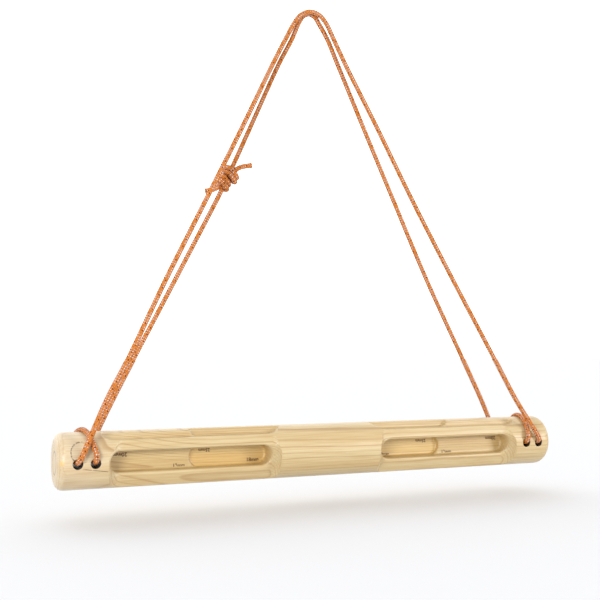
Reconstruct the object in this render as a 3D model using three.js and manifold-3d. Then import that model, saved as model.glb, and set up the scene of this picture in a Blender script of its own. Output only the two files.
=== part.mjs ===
// Portable hangboard: a round wooden bar with finger holds, hung from a doubled loop of braided cord.
// Units are millimetres. X runs along the bar, Y points away from the climber's side, Z points up.
// The origin is the centre of the bar. The cord rises to the hook that holds the whole thing up.

import * as THREE from 'three';
import { mergeVertices } from 'three/addons/utils/BufferGeometryUtils.js';
import Module from 'manifold-3d';

const wasm = await Module();
wasm.setup();

// The bar
const barLength = 600;
const barRadius = 29.5;
const endRounding = 8.5;

// The four holes for the cord, two at each end
const holeRadius = 4.9;
const holeEasing = 0.6;
const holeDrop = 0.8;
const outerHoleInset = 19.6;
const holeSpacing = 17.8;

// The front cut of each grip zone: a set-back face above and below the finger slot
const centreBlockLength = 122.2;
const endBlockLength = 50.6;
const zoneInnerCove = 10;
const zoneOuterCove = 16;
const upperLipSetback = 5;
const lowerLipSetback = 13;
const lowerFaceRunout = 1.4;
const lowerFaceBulge = 0.8;

// The finger slot: its ends are half circles, and its floor steps down halfway along
const slotHeight = 22;
const slotDrop = 1.2;
const slotLipRounding = 3.5;
const slotFloorRounding = 2;
const shallowEdgeDepth = 20;
const deepEdgeDepth = 25.5;

// The two grip zones differ by a few millimetres in where the slot lies
const leftZone = { side: -1, slotOuterMargin: 1.9, slotInnerMargin: 8.4, deepLength: 89.5 };
const rightZone = { side: 1, slotOuterMargin: 7.9, slotInnerMargin: 5.7, deepLength: 84.7 };

// The small ledge along the top of each zone, with a deeper inner part
const ledgeDrop = 8.1;
const ledgeInnerMargin = 11.9;
const ledgeOuterMargin = 6.4;
const ledgeDeepLength = 78.5;
const ledgeInnerCove = 22;
const ledgeOuterCove = 14;
const ledgeStepCove = 9;
const ledgeShallowWallY = 11;
const ledgeDeepWallY = 5;

// The cord
const cordDiameter = 5.5;
const knotCordDiameter = 4.3;
const cordHoleDrop = 0.8;
const cordBendRadius = 8;
const strandClearance = 1.05;
const wrapClearance = 0.4;
const rollGapBar = 0.4;
const rollGapCord = 0.8;
const faceGap = 0.3;
const strandLean = 0.448;

// The bend that joins the two ends of the cord
const knotCentre = new THREE.Vector3(-110.5, 14, 308);
const knotDown = new THREE.Vector3(-0.41, 0.06, -0.912).normalize();
const knotTurnHeight = 7.5;
const knotTurnDepth = 6.1;
const knotTurnOffset = 2.5;
const firstPassDown = 9.2;
const secondPassDown = 3.7;
const passReach = THREE.MathUtils.degToRad(78);
const knotSlantShare = 0.4;
const knotCoreReach = 19.5;
const upperTailLength = 20;
const lowerTailLength = 15.5;

// Facets
const barFacets = 96;
const roundingSteps = 6;
const coveSteps = 8;
const slotEndSteps = 12;
const lipSteps = 4;
const cordFacets = 10;
const knotFacets = 8;
const passSteps = 6;
const longestStep = 60;
const sharpestTurn = THREE.MathUtils.degToRad(14);
const routeSampling = 1.2;
const overrun = 4;
const mergeTolerance = 1e-4;

// Sizes that follow from the ones above
const outerHoleX = barLength / 2 - outerHoleInset;
const innerHoleX = outerHoleX - holeSpacing;
const zoneInnerX = centreBlockLength / 2;
const zoneOuterX = barLength / 2 - endBlockLength;
const ledgeInnerX = zoneInnerX + ledgeInnerMargin;
const ledgeOuterX = zoneOuterX - ledgeOuterMargin;
const ledgeStepX = ledgeInnerX + ledgeDeepLength;
const ledgeLipHeight = barRadius - ledgeDrop;
const lowerFaceEndDepth = barRadius - lowerFaceRunout;
const slotHalf = slotHeight / 2;
const slotMiddleZ = -slotDrop;
const upperLip = { y: -(barRadius - upperLipSetback), z: slotMiddleZ + slotHalf };
const lowerLip = { y: -(barRadius - lowerLipSetback), z: slotMiddleZ - slotHalf };
const ledgeLip = { y: -Math.sqrt(barRadius ** 2 - ledgeLipHeight ** 2), z: ledgeLipHeight };
const faceEnd = { y: -Math.sqrt(barRadius ** 2 - lowerFaceEndDepth ** 2), z: -lowerFaceEndDepth };
const shallowFloorY = upperLip.y + shallowEdgeDepth;
const deepFloorY = upperLip.y + deepEdgeDepth;
const cordRadius = cordDiameter / 2;
const strandY = barRadius + strandClearance + cordRadius;
const wrapRadius = barRadius + wrapClearance + cordRadius;

const barMaterial = new THREE.MeshStandardMaterial({ color: 0xe0c795, roughness: 0.5, metalness: 0 });
const cordMaterial = new THREE.MeshStandardMaterial({ color: 0xd9773a, roughness: 0.8, metalness: 0 });

// Solids and meshes

function toSolid(geometry) {
  const bare = geometry.index ? geometry.toNonIndexed() : geometry.clone();
  bare.deleteAttribute('normal');
  bare.deleteAttribute('uv');
  const merged = mergeVertices(bare, mergeTolerance);
  const corners = merged.index.array;
  const kept = [];
  for (let i = 0; i < corners.length; i += 3) {
    const [a, b, c] = [corners[i], corners[i + 1], corners[i + 2]];
    if (a !== b && b !== c && c !== a) kept.push(a, b, c);
  }
  const vertProperties = new Float32Array(merged.attributes.position.array);
  return new wasm.Manifold(new wasm.Mesh({ numProp: 3, vertProperties, triVerts: new Uint32Array(kept) }));
}

function toMesh(name, solid, material) {
  const data = solid.getMesh();
  const geometry = new THREE.BufferGeometry();
  geometry.setAttribute('position', new THREE.BufferAttribute(new Float32Array(data.vertProperties), 3));
  geometry.setIndex(new THREE.BufferAttribute(new Uint32Array(data.triVerts), 1));
  geometry.computeVertexNormals();
  const mesh = new THREE.Mesh(geometry, material);
  mesh.name = name;
  return mesh;
}

// A closed skin over rings that all have the same number of points. Each ring runs along one edge and
// back along the other, so that its two ends are closed by quads from edge to edge.
function skin(rings) {
  const count = rings[0].length;
  const positions = rings.flat().flatMap((p) => [p.x, p.y, p.z]);
  const faces = [];
  const quad = (a, b, c, d) => faces.push(a, b, c, a, c, d);
  for (let r = 0; r + 1 < rings.length; r++) {
    for (let k = 0; k < count; k++) {
      const next = (k + 1) % count;
      quad(r * count + k, r * count + next, (r + 1) * count + next, (r + 1) * count + k);
    }
  }
  const last = (rings.length - 1) * count;
  for (let k = 0; k < count / 2 - 1; k++) {
    const far = count - 1 - k;
    quad(k, far, far - 1, k + 1);
    quad(last + k, last + k + 1, last + far - 1, last + far);
  }
  const geometry = new THREE.BufferGeometry();
  geometry.setAttribute('position', new THREE.Float32BufferAttribute(positions, 3));
  geometry.setIndex(faces);
  return geometry;
}

// A skin may have been wound inside out, which gives it a negative volume.
function solidSkin(rings) {
  const solid = toSolid(skin(rings));
  return solid.volume() > 0 ? solid : toSolid(skin(rings.map((ring) => [...ring].reverse())));
}

// The bar's blank: a turned rod with rounded ends, lying along X

function barBlank() {
  const half = barLength / 2;
  const profile = [new THREE.Vector2(0, -half)];
  for (let i = 0; i <= roundingSteps; i++) {
    const turn = (i / roundingSteps) * Math.PI / 2;
    const inset = barRadius - endRounding;
    profile.push(new THREE.Vector2(
      inset + endRounding * Math.sin(turn),
      -half + endRounding * (1 - Math.cos(turn)),
    ));
  }
  const mirrored = profile.map((p) => new THREE.Vector2(p.x, -p.y)).reverse();
  const rod = new THREE.LatheGeometry([...profile, ...mirrored], barFacets);
  rod.rotateZ(-Math.PI / 2);
  return toSolid(rod);
}

// A hole along Y whose two mouths are eased for the cord

function cordHole(x) {
  const reach = barRadius + overrun;
  const half = [new THREE.Vector2(0, -reach), new THREE.Vector2(holeRadius + holeEasing, -reach)];
  for (let i = 0; i <= lipSteps; i++) {
    const turn = (i / lipSteps) * Math.PI / 2;
    half.push(new THREE.Vector2(
      holeRadius + holeEasing * (1 - Math.sin(turn)),
      -barRadius + holeEasing * (1 - Math.cos(turn)),
    ));
  }
  const mirrored = half.map((p) => new THREE.Vector2(p.x, -p.y)).reverse();
  const drill = new THREE.LatheGeometry([...half, ...mirrored], slotEndSteps * 2);
  drill.translate(x, 0, -holeDrop);
  return toSolid(drill);
}

// The set-back face of a grip zone, as its Y at a height Z, before the slot is cut

function between(from, to, z) {
  return from.y + ((to.y - from.y) * (z - from.z)) / (to.z - from.z);
}

function faceY(z) {
  if (z > upperLip.z) return between(upperLip, ledgeLip, z);
  if (z > lowerLip.z) return between(lowerLip, upperLip, z);
  const share = (lowerLip.z - z) / (lowerLip.z - faceEnd.z);
  return between(lowerLip, faceEnd, z) - lowerFaceBulge * Math.sin(Math.PI * Math.min(share, 1));
}

// How far the face has come forward, in the cove at each end of a zone
function coveRise(x) {
  const along = Math.abs(x);
  const fromInner = along - zoneInnerX;
  const fromOuter = zoneOuterX - along;
  const rise = (radius, s) => radius - Math.sqrt(Math.max(0, radius ** 2 - (radius - s) ** 2));
  if (fromInner < zoneInnerCove) return rise(zoneInnerCove, Math.max(0, fromInner));
  if (fromOuter < zoneOuterCove) return rise(zoneOuterCove, Math.max(0, fromOuter));
  return 0;
}

// The visible surface of a zone: the set-back face, or the round bar where that lies deeper
function surfaceY(x, z) {
  const round = Math.abs(z) < barRadius ? -Math.sqrt(barRadius ** 2 - z ** 2) : 0;
  return Math.max(faceY(z) - coveRise(x), round);
}

// Places along X, close together in the coves
function zoneStations() {
  const stations = [];
  for (let i = 0; i <= coveSteps; i++) {
    stations.push(zoneInnerX + zoneInnerCove * (1 - Math.cos((i / coveSteps) * Math.PI / 2)));
  }
  for (let i = coveSteps; i >= 0; i--) {
    stations.push(zoneOuterX - zoneOuterCove * (1 - Math.cos((i / coveSteps) * Math.PI / 2)));
  }
  return stations;
}

function frontCut(side) {
  const above = { z: barRadius, y: between(upperLip, ledgeLip, barRadius) };
  const below = { z: -barRadius - overrun, y: between(lowerLip, faceEnd, -barRadius - overrun) };
  const heights = [above.z, ledgeLip.z, upperLip.z, lowerLip.z];
  for (let i = 1; i <= roundingSteps; i++) {
    heights.push(lowerLip.z + ((faceEnd.z - lowerLip.z) * i) / roundingSteps);
  }
  heights.push(below.z);
  const clearY = -(barRadius + zoneOuterCove + overrun);
  const rings = zoneStations().map((x) => {
    const face = heights.map((z) => new THREE.Vector3(side * x, faceY(z) - coveRise(x), z));
    const front = heights.map((z) => new THREE.Vector3(side * x, clearY, z));
    return [...face, ...front.reverse()];
  });
  return solidSkin(rings);
}

// The outline of a slot, seen from the front and grown by an offset: over the top edge and back below
function slotOutline(innerX, outerX, offset) {
  const radius = slotHalf + offset;
  const inner = innerX + slotHalf;
  const outer = outerX - slotHalf;
  const over = [];
  for (let i = 0; i <= slotEndSteps; i++) {
    const turn = (i / slotEndSteps) * Math.PI / 2;
    over.push({ x: inner - radius * Math.cos(turn), rise: radius * Math.sin(turn) });
  }
  const straight = zoneStations().filter((x) => x > inner + faceGap && x < outer - faceGap);
  straight.forEach((x) => over.push({ x, rise: radius }));
  for (let i = slotEndSteps; i >= 0; i--) {
    const turn = (i / slotEndSteps) * Math.PI / 2;
    over.push({ x: outer + radius * Math.cos(turn), rise: radius * Math.sin(turn) });
  }
  const back = over.slice(1, -1).map((p) => ({ x: p.x, rise: -p.rise })).reverse();
  return { over, back };
}

// A slot cutter: its floor has rounded corners, and its mouth may flare into the rounded lips
function slotCutter(side, innerX, outerX, floorY, mouthY) {
  const rings = [];
  const addRing = (offset, depth) => {
    const { over, back } = slotOutline(innerX, outerX, offset);
    const place = (p) => {
      const z = slotMiddleZ + p.rise;
      return new THREE.Vector3(side * p.x, depth(p.x, z), z);
    };
    rings.push({ over: over.map(place), back: back.map(place) });
  };
  for (let i = 0; i <= lipSteps; i++) {
    const turn = (i / lipSteps) * Math.PI / 2;
    const y = floorY - slotFloorRounding * (1 - Math.cos(turn));
    addRing(-slotFloorRounding * (1 - Math.sin(turn)), () => y);
  }
  if (mouthY !== undefined) {
    addRing(0, () => mouthY);
  } else {
    for (let i = 0; i <= lipSteps; i++) {
      const turn = (i / lipSteps) * Math.PI / 2;
      const drop = slotLipRounding * (1 - Math.sin(turn));
      addRing(slotLipRounding * (1 - Math.cos(turn)), (x, z) => surfaceY(x, z) + drop);
    }
    addRing(slotLipRounding, () => -(barRadius + overrun));
  }
  // The two points where the outline turns back are doubled, so that each ring pairs edge with edge.
  const paired = rings.map(({ over, back }) => [...over, over[over.length - 1].clone(), ...back, over[0].clone()]);
  return solidSkin(paired);
}

function zoneSlots({ side, slotInnerMargin, slotOuterMargin, deepLength }) {
  const innerX = zoneInnerX + slotInnerMargin;
  const shallow = slotCutter(side, innerX, zoneOuterX - slotOuterMargin, shallowFloorY);
  const start = shallowFloorY - slotFloorRounding - faceGap;
  const deep = slotCutter(side, innerX, innerX + deepLength, deepFloorY, start);
  return shallow.add(deep);
}

// The ledge on the top of a zone: cut from the front, with ends that sweep up as an arc

function ledgeCutter(side, innerX, outerX, innerCove, outerCove, wallY) {
  const top = ledgeLip.z + ledgeInnerCove + overrun;
  const outline = new THREE.Shape();
  outline.moveTo(innerX - innerCove, top);
  outline.lineTo(innerX - innerCove, ledgeLip.z + innerCove);
  outline.absarc(innerX, ledgeLip.z + innerCove, innerCove, Math.PI, 1.5 * Math.PI, false);
  outline.absarc(outerX, ledgeLip.z + outerCove, outerCove, 1.5 * Math.PI, 2 * Math.PI, false);
  outline.lineTo(outerX + outerCove, top);
  const depth = barRadius + overrun - wallY;
  const slab = new THREE.ExtrudeGeometry(outline, { depth, bevelEnabled: false, curveSegments: slotEndSteps });
  slab.rotateX(Math.PI / 2);
  slab.translate(0, -wallY, 0);
  const solid = toSolid(slab);
  return side > 0 ? solid : solid.mirror([1, 0, 0]);
}

function zoneLedges(side) {
  const shallow = ledgeCutter(side, ledgeInnerX, ledgeOuterX, ledgeInnerCove, ledgeOuterCove, ledgeShallowWallY);
  const deep = ledgeCutter(side, ledgeInnerX, ledgeStepX, ledgeInnerCove, ledgeStepCove, ledgeDeepWallY);
  return shallow.add(deep);
}

function bar() {
  let solid = barBlank();
  for (const zone of [leftZone, rightZone]) {
    solid = solid.subtract(frontCut(zone.side).add(zoneSlots(zone)).add(zoneLedges(zone.side)));
    solid = solid.subtract(cordHole(zone.side * outerHoleX));
    solid = solid.subtract(cordHole(zone.side * innerHoleX));
  }
  return solid;
}

// The cord: a tube that follows a route with steps that are short in bends and long on straight runs

class SteppedRoute extends THREE.Curve {
  constructor(stations) {
    super();
    this.stations = stations;
  }

  getPoint(t) {
    return this.stations[Math.round(t * (this.stations.length - 1))].clone();
  }

  getPointAt(u) {
    return this.getPoint(u);
  }

  getSpacedPoints() {
    return this.stations.map((p) => p.clone());
  }

  getTangentAt(u) {
    const i = Math.round(u * (this.stations.length - 1));
    const before = this.stations[Math.max(0, i - 1)];
    const after = this.stations[Math.min(this.stations.length - 1, i + 1)];
    return after.clone().sub(before).normalize();
  }
}

function stationsAlong(points) {
  const curve = new THREE.CatmullRomCurve3(points, false, 'centripetal');
  const fine = curve.getSpacedPoints(Math.ceil(curve.getLength() / routeSampling));
  const stations = [fine[0]];
  let heading = fine[1].clone().sub(fine[0]).normalize();
  for (let i = 1; i + 1 < fine.length; i++) {
    const ahead = fine[i + 1].clone().sub(fine[i]).normalize();
    const stepLength = fine[i].distanceTo(stations[stations.length - 1]);
    if (ahead.angleTo(heading) > sharpestTurn || stepLength > longestStep) {
      stations.push(fine[i]);
      heading = ahead;
    }
  }
  stations.push(fine[fine.length - 1]);
  return stations;
}

function tube(stations, diameter, facets) {
  const section = new THREE.Shape();
  for (let i = 0; i < facets; i++) {
    const turn = (i / facets) * 2 * Math.PI;
    const [x, y] = [(diameter / 2) * Math.cos(turn), (diameter / 2) * Math.sin(turn)];
    if (i === 0) section.moveTo(x, y);
    else section.lineTo(x, y);
  }
  const extrudePath = new SteppedRoute(stations);
  const steps = stations.length - 1;
  return toSolid(new THREE.ExtrudeGeometry(section, { steps, extrudePath, bevelEnabled: false }));
}

const point = (x, y, z) => new THREE.Vector3(x, y, z);

// Out of a hole and up: side is -1 at the left end, face is -1 at the front of the bar and 1 at its back.
function mouthBend(side, holeX, face) {
  const lean = point(-side * strandLean, 0, Math.sqrt(1 - strandLean ** 2));
  const start = point(side * holeX, face * (strandY - cordBendRadius), 0);
  const bend = [];
  for (let i = 0; i <= roundingSteps; i++) {
    const turn = (i / roundingSteps) * Math.PI / 2;
    const along = start.clone().addScaledVector(lean, cordBendRadius * (1 - Math.cos(turn)));
    along.y += face * cordBendRadius * Math.sin(turn);
    along.z -= cordHoleDrop;
    bend.push(along);
  }
  return bend;
}

// The route's points on the free strands, chosen by hand: left to right over the hook
const frontStrands = [
  point(-252.3, -29.7, 63), point(-231, -27.1, 103.2), point(-190.4, -21.8, 187), point(-144.6, -16.1, 276.3),
  point(-101.4, -10.7, 361), point(-62.3, -5.6, 440), point(-44.6, -3.8, 474), point(-34, -3.1, 493.5),
  point(-25.4, -3.1, 504), point(-14.4, -3.1, 509), point(-3.2, -3.1, 507), point(5.9, -3.1, 498.5),
  point(15, -3.3, 481.8), point(29.9, -4.9, 451.7), point(69.4, -9.6, 377.6), point(113, -15.1, 292.9),
  point(165, -21.1, 197.7), point(219.5, -27.3, 101), point(247, -30.6, 52),
];
const backStrandsUpper = [
  point(238, 30.6, 49.5), point(209.4, 27.3, 100.8), point(153.4, 20.9, 200.6), point(103.7, 14.8, 297.1),
  point(60.8, 9.4, 381.2), point(24.3, 4.8, 454), point(9.9, 3.3, 482.7), point(-0.5, 3.1, 498.8),
  point(-5.4, 3.1, 505.6), point(-12.6, 3.1, 508.6), point(-20.3, 3.1, 505), point(-26.3, 3.1, 495.7),
  point(-34.3, 3.3, 476.8), point(-50.4, 5.3, 444.9), point(-84.2, 10.3, 367.6),
];
const backStrandLower = [
  point(-168.4, 21.5, 191.3), point(-213.4, 27.2, 102.9), point(-238.6, 30.6, 52),
];

// The knot's points in its own axes, chosen by hand: in to the back of its turns, and out from under them
const knotWayIn = [
  point(0, 0, -14.5), point(0, 0.1, -11), point(0, 0.1, -7.5), point(1.2, -0.4, -4),
  point(4.2, -2.7, -0.3), point(9.6, -2.4, 3.2), point(10.8, -1, 6.6), point(7.8, 3.4, 10.6),
];
const knotTuck = [
  point(1.9, -7.9, 0.7), point(1.3, -5.5, 3.4), point(0, -4.9, 7.5), point(0, -4.9, 11.5), point(0, -5.2, 14),
];
const tailStart = point(0, -0.35, 0.94);
const tailEnd = point(0.15, -0.8, 0.62);

// The knot is two like halves of a double fisherman's bend, one the other turned half round about the line
// of sight. In the knot's own axes x points away from the climber, y to the right, and z down the strand.
// A half comes down the middle of the other's turns, leaves at the back, rides over its own turns there,
// passes the front twice, and is tucked under them beside the other's standing cord.
function knotHalf(tailLength) {
  const onTurn = (angle, down) => {
    const y = -knotTurnOffset + knotTurnHeight * Math.sin(angle);
    return point(-knotTurnDepth * Math.cos(angle), y, down);
  };
  const slant = (angle) => knotSlantShare * knotTurnHeight * Math.sin(angle);
  const turns = [];
  const frontPass = (down) => {
    for (let i = 0; i <= passSteps; i++) {
      const angle = passReach * (1 - (2 * i) / passSteps);
      turns.push(onTurn(angle, down + slant(angle)));
    }
  };
  const edge = slant(passReach);
  frontPass(firstPassDown);
  for (let i = 1; i <= passSteps + 1; i++) {
    const share = i / (passSteps + 2);
    const angle = -passReach - 2 * (Math.PI - passReach) * share;
    const down = THREE.MathUtils.lerp(firstPassDown - edge, secondPassDown + edge, share);
    turns.push(onTurn(angle, down));
  }
  frontPass(secondPassDown);
  const route = [point(0, 0, -knotCoreReach), ...knotWayIn, ...turns, ...knotTuck];
  let reached = route[route.length - 1];
  for (let i = 1; i <= lipSteps; i++) {
    const heading = tailStart.clone().lerp(tailEnd, Math.min(1, (2 * i) / (lipSteps + 1))).normalize();
    reached = reached.clone().addScaledVector(heading, tailLength / lipSteps);
    route.push(reached);
  }
  return route;
}

const knotRight = new THREE.Vector3().crossVectors(point(0, 1, 0), knotDown).normalize().negate();
const knotFront = new THREE.Vector3().crossVectors(knotRight, knotDown).normalize();

function knotRoute(flip) {
  return knotHalf(flip > 0 ? lowerTailLength : upperTailLength).map((p) => knotCentre.clone()
    .addScaledVector(knotFront, p.x)
    .addScaledVector(knotRight, flip * p.y)
    .addScaledVector(knotDown, flip * p.z));
}

const knotTop = knotCentre.clone().addScaledVector(knotDown, -(knotCoreReach + faceGap));
const knotBottom = knotCentre.clone().addScaledVector(knotDown, knotCoreReach + faceGap);

// The wrap at one end: through the outer hole, up the back, over the bar, down the front, through the
// inner hole
function wrapRoute(side) {
  const intoOuter = mouthBend(side, outerHoleX, -1).reverse();
  const outOfInner = mouthBend(side, innerHoleX, 1);
  const bendY = strandY - cordBendRadius;
  const bendZ = cordBendRadius - cordHoleDrop;
  const overBar = [];
  for (let i = 0; i <= roundingSteps; i++) {
    const turn = (i / roundingSteps) * Math.PI / 2;
    const y = bendY + cordBendRadius * Math.sin(turn);
    overBar.push({ y, z: bendZ - cordBendRadius * Math.cos(turn) });
  }
  const firstAngle = Math.atan2(bendZ, strandY);
  const arcSteps = slotEndSteps;
  const halfArc = [];
  for (let i = 1; i <= arcSteps / 2; i++) {
    const share = i / (arcSteps / 2);
    const angle = firstAngle + (Math.PI / 2 - firstAngle) * share;
    const spare = Math.hypot(strandY, bendZ) - wrapRadius;
    const radius = wrapRadius + spare * Math.max(0, 1 - 2 * share) ** 2;
    halfArc.push({ y: radius * Math.cos(angle), z: radius * Math.sin(angle) });
  }
  const rise = [...overBar, ...halfArc];
  const fall = rise.slice(0, -1).map((p) => ({ y: -p.y, z: p.z })).reverse();
  const loop = [...rise, ...fall];
  const placed = loop.map((p) => {
    const angle = Math.atan2(p.z, p.y);
    const share = THREE.MathUtils.clamp((angle - firstAngle) / (Math.PI - 2 * firstAngle), 0, 1);
    const inHole = p.z < bendZ - faceGap;
    const x = inHole ? (p.y > 0 ? outerHoleX : innerHoleX) : THREE.MathUtils.lerp(outerHoleX, innerHoleX, share);
    return point(side * x, p.y, p.z);
  });
  return [...intoOuter, ...placed, ...outOfInner];
}

// The bar may roll in its cord, so the cord is parted just outside the bar's round surface.
function envelope(gap) {
  const rod = new THREE.CylinderGeometry(barRadius + gap, barRadius + gap, barLength, barFacets);
  rod.rotateZ(-Math.PI / 2);
  return toSolid(rod);
}

function mouthBlock(side, holeX, face) {
  const width = outerHoleX - innerHoleX;
  const block = new THREE.BoxGeometry(width, barRadius, barRadius + cordBendRadius);
  block.translate(side * (holeX - faceGap), face * (barRadius + cordRadius), 0);
  return toSolid(block);
}

function cordWrap(side) {
  const whole = tube(stationsAlong(wrapRoute(side)), cordDiameter, cordFacets);
  const outside = mouthBlock(side, outerHoleX, -1).add(mouthBlock(side, innerHoleX, 1));
  return whole.subtract(outside.subtract(envelope(rollGapBar)));
}

function strand(points, diameter) {
  return tube(stationsAlong(points), diameter, cordFacets).subtract(envelope(rollGapCord));
}

function frontLoop() {
  const left = mouthBend(-1, outerHoleX, -1);
  const right = mouthBend(1, outerHoleX, -1).reverse();
  return strand([...left, ...frontStrands, ...right], cordDiameter);
}

function backUpper() {
  const start = mouthBend(1, innerHoleX, 1);
  return strand([...start, ...backStrandsUpper, knotTop], cordDiameter);
}

function backLower() {
  const end = mouthBend(-1, innerHoleX, 1).reverse();
  return strand([knotBottom, ...backStrandLower, ...end], cordDiameter);
}

// The least clear gap between a tube and itself, or another tube, measured on its centreline
function leastGap(first, second, diameter) {
  let least = Infinity;
  const along = (points) => points.map((p, i) => points.slice(1, i + 1)
    .reduce((sum, q, k) => sum + q.distanceTo(points[k]), 0));
  const firstAt = along(first);
  const secondAt = first === second ? firstAt : null;
  first.forEach((p, i) => second.forEach((q, k) => {
    if (secondAt && Math.abs(firstAt[i] - secondAt[k]) < 2.2 * diameter) return;
    least = Math.min(least, p.distanceTo(q) - diameter);
  }));
  return least;
}

const knotLowerStations = stationsAlong(knotRoute(1));
const knotUpperStations = stationsAlong(knotRoute(-1));

function report() {
  const dense = (flip) => new THREE.CatmullRomCurve3(knotRoute(flip), false, 'centripetal').getSpacedPoints(160);
  const [lower, upper] = [dense(1), dense(-1)];
  console.log('knot tube to itself, mm:', leastGap(lower, lower, knotCordDiameter).toFixed(2));
  console.log('knot halves apart, mm:', leastGap(lower, upper, knotCordDiameter).toFixed(2));
}

report();

const hangboard = new THREE.Group();
hangboard.name = 'hangboard';
hangboard.add(
  toMesh('bar', bar(), barMaterial),
  toMesh('cord_wrap_left', cordWrap(-1), cordMaterial),
  toMesh('cord_wrap_right', cordWrap(1), cordMaterial),
  toMesh('cord_front_loop', frontLoop(), cordMaterial),
  toMesh('cord_back_upper', backUpper(), cordMaterial),
  toMesh('cord_back_lower', backLower(), cordMaterial),
  toMesh('knot_lower_turns', tube(knotLowerStations, knotCordDiameter, knotFacets), cordMaterial),
  toMesh('knot_upper_turns', tube(knotUpperStations, knotCordDiameter, knotFacets), cordMaterial),
);

export default hangboard;
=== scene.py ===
# %% [markdown]
# A portable hangboard: a turned wooden bar with finger slots, hung from a doubled loop of braided cord.
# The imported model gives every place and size. This lesson dresses it piece by piece: first the camera,
# because it decides how fine a detail has to be, then the cords, the bar, its burned numbers and the light.
# Sizes are written in millimetres and become Blender's metres where a mesh is made.

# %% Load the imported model
import math

import bmesh
import bpy
import numpy as np
from mathutils import Matrix, Vector


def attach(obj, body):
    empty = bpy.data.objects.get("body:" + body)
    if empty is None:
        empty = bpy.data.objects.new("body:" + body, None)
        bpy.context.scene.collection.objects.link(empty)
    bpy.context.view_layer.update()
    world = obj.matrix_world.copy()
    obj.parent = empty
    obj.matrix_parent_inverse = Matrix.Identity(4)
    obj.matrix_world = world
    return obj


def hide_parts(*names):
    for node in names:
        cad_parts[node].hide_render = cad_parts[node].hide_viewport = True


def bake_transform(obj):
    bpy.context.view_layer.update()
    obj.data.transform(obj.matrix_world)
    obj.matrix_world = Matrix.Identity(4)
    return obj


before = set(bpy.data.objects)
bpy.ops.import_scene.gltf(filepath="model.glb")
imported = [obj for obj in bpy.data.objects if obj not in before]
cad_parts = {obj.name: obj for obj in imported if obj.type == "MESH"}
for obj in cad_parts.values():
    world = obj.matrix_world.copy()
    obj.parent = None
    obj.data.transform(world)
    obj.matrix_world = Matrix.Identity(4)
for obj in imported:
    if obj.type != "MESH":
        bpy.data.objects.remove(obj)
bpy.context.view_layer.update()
MM = 0.001


# %% [markdown]
# The photograph was taken from the left of the bar's middle, a little above the bar and nearly level.
# The camera is given by its place, three turns and a lens, so that it can be read and checked by hand.

# %% Camera
CAMERA_PLACE = Vector((-433.34, -959.79, 107.76)) * MM
CAMERA_YAW, CAMERA_PITCH, CAMERA_ROLL = (math.radians(v) for v in (22.945, 3.459, -0.18))
LENS_PIXELS, FRAME_PIXELS, SENSOR_MM = 910.57, 600, 36.0


def camera_axes(yaw, pitch, roll):
    ahead = Vector((math.sin(yaw) * math.cos(pitch), math.cos(yaw) * math.cos(pitch), math.sin(pitch)))
    level = Vector((math.cos(yaw), -math.sin(yaw), 0))
    above = level.cross(ahead)
    right = level * math.cos(roll) + above * math.sin(roll)
    up = above * math.cos(roll) - level * math.sin(roll)
    return right, up, ahead


scene = bpy.context.scene
camera = bpy.data.objects.new("camera", bpy.data.cameras.new("camera"))
scene.collection.objects.link(camera)
scene.camera = camera
camera.data.sensor_width = SENSOR_MM
camera.data.lens = LENS_PIXELS / FRAME_PIXELS * SENSOR_MM
right, up, ahead = camera_axes(CAMERA_YAW, CAMERA_PITCH, CAMERA_ROLL)
camera.matrix_world = Matrix.Translation(CAMERA_PLACE) @ Matrix((right, up, -ahead)).transposed().to_4x4()
print("Lens, mm:", round(camera.data.lens, 2))

# %% [markdown]
# The cord is about three metres of 5.5 mm braided accessory cord. Its route was settled with the solids, so
# the same points are repeated here. A centripetal Catmull-Rom curve runs through them, as the solids' curve
# does, and is then sampled at even steps, so that the braid doesn't stretch in the bends.

# %% Smooth routes
RING_STEP, FEWEST_RINGS = 0.5, 8
SAMPLES_PER_STEP = 4
CENTRIPETAL, TINY = 0.5, 1e-9


def smooth_route(points):
    p = np.array(points, float)
    p = np.vstack([2 * p[0] - p[1], p, 2 * p[-1] - p[-2]])
    line = []
    for a, b, c, d in zip(p, p[1:], p[2:], p[3:]):
        gaps = [max(TINY, np.linalg.norm(q - r)) for q, r in ((b, a), (c, b), (d, c))]
        t = np.cumsum([0, *(gap**CENTRIPETAL for gap in gaps)])
        count = max(SAMPLES_PER_STEP, int(np.linalg.norm(c - b) / RING_STEP * SAMPLES_PER_STEP))
        x = np.linspace(t[1], t[2], count, endpoint=False)[:, None]
        ab = ((t[1] - x) * a + (x - t[0]) * b) / (t[1] - t[0])
        bc = ((t[2] - x) * b + (x - t[1]) * c) / (t[2] - t[1])
        cd = ((t[3] - x) * c + (x - t[2]) * d) / (t[3] - t[2])
        abc = ((t[2] - x) * ab + (x - t[0]) * bc) / (t[2] - t[0])
        bcd = ((t[3] - x) * bc + (x - t[1]) * cd) / (t[3] - t[1])
        line.append(((t[2] - x) * abc + (x - t[1]) * bcd) / (t[2] - t[1]))
    return even_steps(np.vstack([*line, p[-2:-1]]))


def even_steps(line):
    along = np.concatenate([[0], np.cumsum(np.linalg.norm(np.diff(line, axis=0), axis=1))])
    count = max(FEWEST_RINGS, round(along[-1] / RING_STEP))
    at = np.linspace(0, along[-1], count + 1)
    return np.stack([np.interp(at, along, line[:, k]) for k in range(3)], 1)


def length_of(line):
    return float(np.linalg.norm(np.diff(line, axis=0), axis=1).sum())


print("Step between rings, mm:", RING_STEP)

# %% [markdown]
# At each hole the cord comes out square to the bar and turns up in a bend of one and a half diameters. It
# leans towards the hook as it rises. The bend is a quarter of an arc in the plane of the hole and that lean.
# Inside the hole the cord lies a little above the middle, because the bar hangs on it there.

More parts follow.
